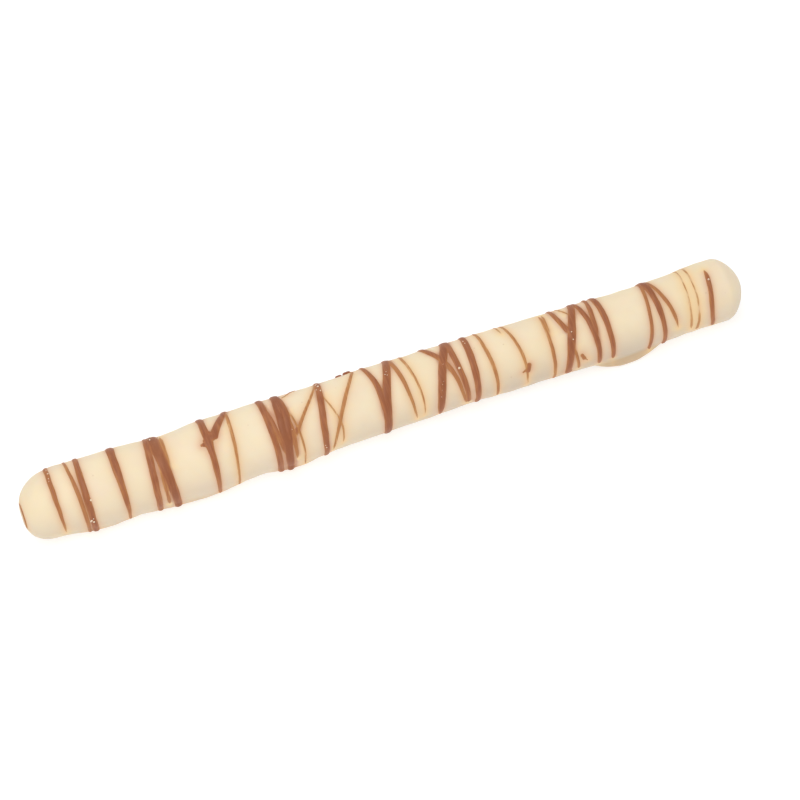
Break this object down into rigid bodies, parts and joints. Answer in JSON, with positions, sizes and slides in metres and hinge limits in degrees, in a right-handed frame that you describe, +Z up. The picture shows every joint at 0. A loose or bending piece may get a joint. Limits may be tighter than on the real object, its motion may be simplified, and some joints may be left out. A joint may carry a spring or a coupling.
{
  "type": "chocolate-dipped pretzel rod",
  "caption": "Pretzel rod dipped whole in white chocolate, drizzled across with milk chocolate and lying on the flat foot its coating set on: a sweet snack.",
  "frame": {"origin": "on the tray, under the middle of the rod's length", "axes": "+X along the rod from its rounded end to its blunt end, -Y the side that the picture shows, +Z up"},
  "size_m": [0.2, 0.0203, 0.0186],
  "materials": {
    "white_chocolate": "satin cream-white chocolate coating, faintly pitted and mottled",
    "milk_chocolate": "semi-gloss milk chocolate drizzle, amber where it is thin"
  },
  "bodies": {
    "root": {"dipped_rod": "white_chocolate"}
  },
  "joints": []
}
